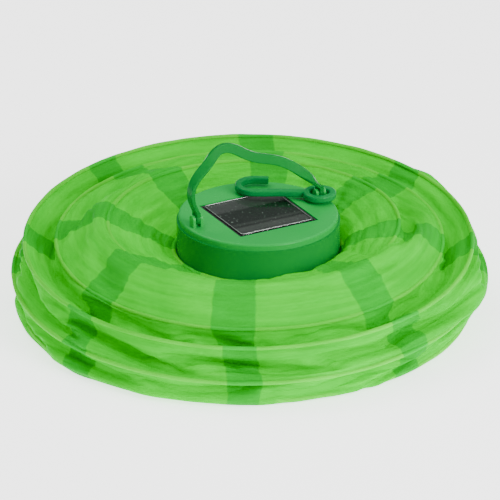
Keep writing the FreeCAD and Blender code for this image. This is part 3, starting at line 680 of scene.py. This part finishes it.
# ---------------------------------------------------------------- switch
# A slide switch in the base: a pressed tin case with a black nylon lever through a slot.
tin_case = finish("tin_case", (0.50, 0.50, 0.50), (0.3, 0.45), 0.08, 400.0, 3000.0, 0.00001, 1.0)
black_lever = finish("black_nylon", (0.015, 0.015, 0.016), (0.4, 0.55), 0.15, 300.0)
dress(tin_case, "switch_case", "switch_case")
dress(black_lever, "switch_lever", "switch_lever")

# ---------------------------------------------------------------- circuit board
# A small green board with the LED driver chip and its inductor, and tinned leads down from the solar board.
mask_green = finish("solder_mask", (0.010, 0.085, 0.035), (0.25, 0.4), 0.2, 500.0, 1600.0, 0.00002)
moulded_black = finish("moulded_black", (0.018, 0.018, 0.019), (0.45, 0.6), 0.15, 700.0, 3000.0, 0.00002)
ferrite = finish("ferrite", (0.045, 0.042, 0.040), (0.5, 0.7), 0.2, 900.0, 2500.0, 0.00003)
red_sleeve = finish("red_sleeve", (0.48, 0.012, 0.010), (0.3, 0.42), 0.1, 400.0)
black_sleeve = finish("black_sleeve", (0.012, 0.012, 0.013), (0.3, 0.42), 0.2, 400.0)
dress(mask_green, "circuit_board", "circuit_board")
dress(moulded_black, "chip", "driver_chip")
dress(ferrite, "inductor", "inductor")
dress(red_sleeve, "lead_red", "leads_plus")
dress(black_sleeve, "lead_black", "leads_minus")

# ---------------------------------------------------------------- housing
# The cap's side wall is a plain moulded cylinder in a deep, glossy green, pushed over the base's spigot.
wall_plastic = finish("wall_plastic", (0.0, 0.22, 0.032), (0.14, 0.24), 0.05, 12.0, 2200.0, 0.000006,
                      Specular_IOR_Level=0.12)
dress(wall_plastic, "cap_plastic", "cap_housing")

# ---------------------------------------------------------------- lid
# The lid is a separate moulding with a rounded edge, a pocket for the solar board and two slotted lugs.
# Its top is bead-blasted a little, so it is softer than the wall; its paler green is painted light, for the
# top that faces up into the bright room.
# Painted light: the lid's base colour is paler than the wall's, for the light its upward face catches.
lid_plastic = finish("lid_plastic", (0.0, 0.36, 0.052), (0.18, 0.30), 0.07, 15.0, 2000.0, 0.00001,
                     Specular_IOR_Level=0.09)
dress(lid_plastic, "lid_plastic", "cap_lid")

# ---------------------------------------------------------------- solar module
# Dark cells with paler bands, under clear epoxy on a black board, on a foam pad in the lid.
# The epoxy was poured, so it crowns a little; the thin bright line round its edge is a painted highlight, an
# opaque pale ring for the light that edge catches.
resin_low, resin_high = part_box("solar_resin")
cells_low, cells_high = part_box("solar_cells")
resin_mid = (resin_low + resin_high) / 2
cells_mid = (cells_low + cells_high) / 2

board_black = finish("board_black", (0.012, 0.014, 0.013), (0.35, 0.5), 0.3, 200.0)
foam_grey = finish("foam_pad", (0.10, 0.10, 0.10), (0.8, 0.95), 0.2, 1500.0, 2500.0, 0.0002)
dress(board_black, "solar_board", "solar_board")
dress(foam_grey, "foam", "solar_foam")

silicon = bpy.data.materials.new("silicon")
silicon.use_nodes = True
tree = silicon.node_tree
shader = tree.nodes["Principled BSDF"]
middle = tree.nodes.new("ShaderNodeMapping")
middle.inputs["Location"].default_value = -cells_mid
tree.links.new(coordinates(tree), middle.inputs["Vector"])
axes = tree.nodes.new("ShaderNodeSeparateXYZ")
tree.links.new(middle.outputs["Vector"], axes.inputs["Vector"])
bands = tree.nodes.new("ShaderNodeMapRange")
bands.inputs["From Min"].default_value = -0.022
bands.inputs["From Max"].default_value = 0.022
tree.links.new(axes.outputs["Y"], bands.inputs["Value"])
cell_tone = ramp(tree, bands.outputs["Result"], [
    (0.00, (0.030, 0.034, 0.031)), (0.20, (0.045, 0.050, 0.045)), (0.24, (0.001, 0.004, 0.002)),
    (0.30, (0.026, 0.032, 0.027)), (0.34, (0.001, 0.006, 0.003)), (0.68, (0.001, 0.007, 0.003)),
    (0.72, (0.032, 0.036, 0.033)), (1.00, (0.042, 0.046, 0.043))])
flecks = tree.nodes.new("ShaderNodeMix")
flecks.data_type = "RGBA"
dust = ramp(tree, grain(tree, middle.outputs["Vector"], 650.0, 2.0), [(0.67, (0, 0, 0)), (0.73, (1, 1, 1))])
tree.links.new(dust, flecks.inputs["Factor"])
tree.links.new(cell_tone, flecks.inputs[6])
flecks.inputs[7].default_value = (0.22, 0.26, 0.23, 1)
tree.links.new(flecks.outputs[2], shader.inputs["Base Color"])
shader.inputs["Specular IOR Level"].default_value = 0.2
gloss_patches = grain(tree, middle.outputs["Vector"], 900.0)
tree.links.new(spread(tree, gloss_patches, 0.25, 0.4), shader.inputs["Roughness"])
fingers = tree.nodes.new("ShaderNodeTexWave")
fingers.inputs["Scale"].default_value = 260.0
tree.links.new(middle.outputs["Vector"], fingers.inputs["Vector"])
bumped(tree, shader, fingers.outputs["Fac"], 0.00002)
dress(silicon, "solar_cells", "solar_cells")

FACE = 0.00012  # the cells' upper face stands half of this out of them, clear of the epoxy's underside
deselect()
bpy.ops.mesh.primitive_cube_add(size=1, location=(cells_mid.x, cells_mid.y, cells_high.z))
cell_face = bpy.context.object
cell_face.name = "cell_face"
cell_face.scale = (cells_high.x - cells_low.x, cells_high.y - cells_low.y, FACE)
bpy.ops.object.transform_apply(location=True, rotation=True, scale=True)
cell_face.data.materials.append(silicon)
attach(cell_face, "cap")

epoxy = bpy.data.materials.new("clear_epoxy")
epoxy.use_nodes = True
tree = epoxy.node_tree
tree.nodes.remove(tree.nodes["Principled BSDF"])
where = coordinates(tree)
clear = tree.nodes.new("ShaderNodeBsdfTransparent")
tint = ramp(tree, grain(tree, where, 120.0), [(0.3, (0.80, 0.88, 0.83)), (0.7, (0.94, 0.97, 0.95))])
tree.links.new(tint, clear.inputs["Color"])
gloss = tree.nodes.new("ShaderNodeBsdfAnisotropic")
tree.links.new(spread(tree, grain(tree, where, 90.0), 0.03, 0.14), gloss.inputs["Roughness"])
bumped(tree, gloss, grain(tree, where, 160.0, 2.0), 0.00006)
mirror = tree.nodes.new("ShaderNodeLayerWeight")
mirror.inputs["Blend"].default_value = 0.5
grazing = calc(tree, "POWER", mirror.outputs["Facing"], 4.0)
shine = calc(tree, "ADD", calc(tree, "MULTIPLY", grazing, 0.4), 0.02)
coat = tree.nodes.new("ShaderNodeMixShader")
tree.links.new(shine, coat.inputs["Fac"])
tree.links.new(clear.outputs["BSDF"], coat.inputs[1])
tree.links.new(gloss.outputs["BSDF"], coat.inputs[2])
tree.links.new(coat.outputs["Shader"], tree.nodes["Material Output"].inputs["Surface"])
dress(epoxy, "solar_resin", "solar_resin")

LINE = 0.00036  # width of the epoxy's bright edge
deselect()
size = resin_high - resin_low
bpy.ops.mesh.primitive_plane_add(size=1, location=(resin_mid.x, resin_mid.y, resin_high.z - 0.0002))
edge_line = bpy.context.object
edge_line.name = "resin_edge"
edge_line.scale = (size.x - 0.0012, size.y - 0.0012, 1)
bpy.ops.object.transform_apply(location=True, rotation=True, scale=True)
bpy.ops.object.mode_set(mode="EDIT")
bpy.ops.mesh.select_all(action="SELECT")
bpy.ops.mesh.bevel(offset=0.0016, segments=5, affect="VERTICES")
bpy.ops.mesh.select_all(action="SELECT")
bpy.ops.mesh.inset(thickness=LINE, depth=0)
bpy.ops.mesh.delete(type="FACE")
bpy.ops.mesh.select_all(action="SELECT")
bpy.ops.mesh.extrude_region_move(TRANSFORM_OT_translate={"value": (0, 0, 0.00035)})
bpy.ops.mesh.select_all(action="SELECT")
bpy.ops.mesh.normals_make_consistent(inside=False)
bpy.ops.object.mode_set(mode="OBJECT")
round_off = edge_line.modifiers.new("round", "BEVEL")
round_off.width = 0.00012
round_off.segments = 2
bpy.ops.object.modifier_apply(modifier="round")
# Painted highlight: the edge line is opaque pale grey, standing for light caught by the clear epoxy's crowned
# edge.
edge_line.data.materials.append(
    finish("meniscus_painted_highlight", (0.24, 0.27, 0.25), (0.10, 0.22), 0.25, 300.0, 900.0, 0.00001, 0.4, Coat_Weight=0.3))
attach(edge_line, "cap")

# ---------------------------------------------------------------- strap
# A moulded band of soft PVC joins the two lugs. It turns on their pins, and twists where it was pushed aside.
soft_pvc = finish("soft_pvc", (0.0, 0.16, 0.022), (0.20, 0.32), 0.08, 30.0, 1800.0, 0.00001,
                  Specular_IOR_Level=0.05, Subsurface_Weight=0.05, Subsurface_Scale=0.002)
dress(soft_pvc, "strap", "strap")

# ---------------------------------------------------------------- hook
# The hook is moulded nylon with an eye round one lug: a curved stem, a U bend and a short free arm.
hook_nylon = finish("hook_nylon", (0.0, 0.205, 0.042), (0.20, 0.32), 0.08, 40.0, 1800.0, 0.00001,
                    Specular_IOR_Level=0.05)
dress(hook_nylon, "hook", "hook")
